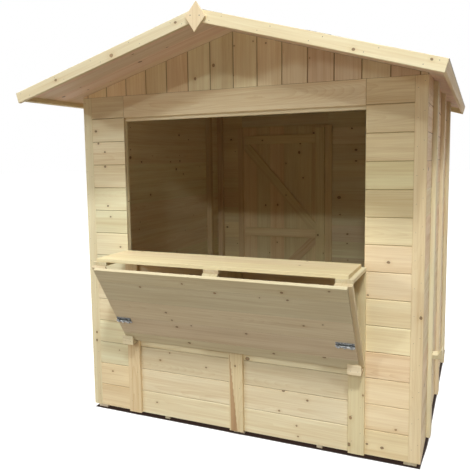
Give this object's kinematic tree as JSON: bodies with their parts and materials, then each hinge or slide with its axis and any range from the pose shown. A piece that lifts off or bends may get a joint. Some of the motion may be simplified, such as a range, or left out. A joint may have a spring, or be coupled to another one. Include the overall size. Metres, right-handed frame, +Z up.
{
  "type": "wooden market stall",
  "caption": "Boarded spruce market hut with a serving hatch, an open folding counter in front, a pitched roof that overhangs the counter and a braced back door.",
  "frame": {"origin": "on the ground, under the middle of the box around the whole stall", "axes": "+X to the right of someone facing the counter, +Y from the counter to the back door, +Z up"},
  "size_m": [2.2208, 2.545, 2.3112],
  "materials": {
    "spruce": "bare planed spruce with small knots",
    "zinc_plated_steel": "zinc plated, satin",
    "roofing_felt": "mineral-coated bitumen felt, matt"
  },
  "bodies": {
    "stall": {"floor_joists": "spruce", "floor_panels": "spruce", "front_lower_wall": "spruce", "front_left_wall": "spruce", "front_right_wall": "spruce", "front_lintel": "spruce", "front_gable": "spruce", "corner_boards": "spruce", "wall_studs": "spruce", "hatch_posts": "spruce", "hatch_head_rail": "spruce", "front_battens": "spruce", "counter_shelf": "spruce", "counter_arms": "spruce", "flap_board": "spruce", "flap_battens": "spruce", "flap_bolts": "zinc_plated_steel", "cleats": "spruce", "left_wall": "spruce", "right_wall": "spruce", "side_battens": "spruce", "back_left_wall": "spruce", "back_right_wall": "spruce", "back_lintel": "spruce", "back_threshold": "spruce", "back_gable": "spruce", "door_jambs": "spruce", "door_head": "spruce", "hinge_plates": "zinc_plated_steel", "left_roof_deck": "spruce", "right_roof_deck": "spruce", "left_eave_board": "spruce", "right_eave_board": "spruce", "left_front_barge": "spruce", "right_front_barge": "spruce", "left_back_barge": "spruce", "right_back_barge": "spruce", "left_roof_felt": "roofing_felt", "right_roof_felt": "roofing_felt", "ridge_lozenge": "spruce"},
    "door": {"door_boards": "spruce", "door_ledges": "spruce", "door_stile": "spruce", "door_braces": "spruce", "door_handle": "zinc_plated_steel", "hinge_straps": "zinc_plated_steel"}
  },
  "joints": [
    {"name": "door_swing", "type": "hinge", "parent": "stall", "child": "door", "pos_m": [-0.7455, 1.2005, 0], "axis": [0, 0, 1], "range_deg": [0, 120]}
  ]
}
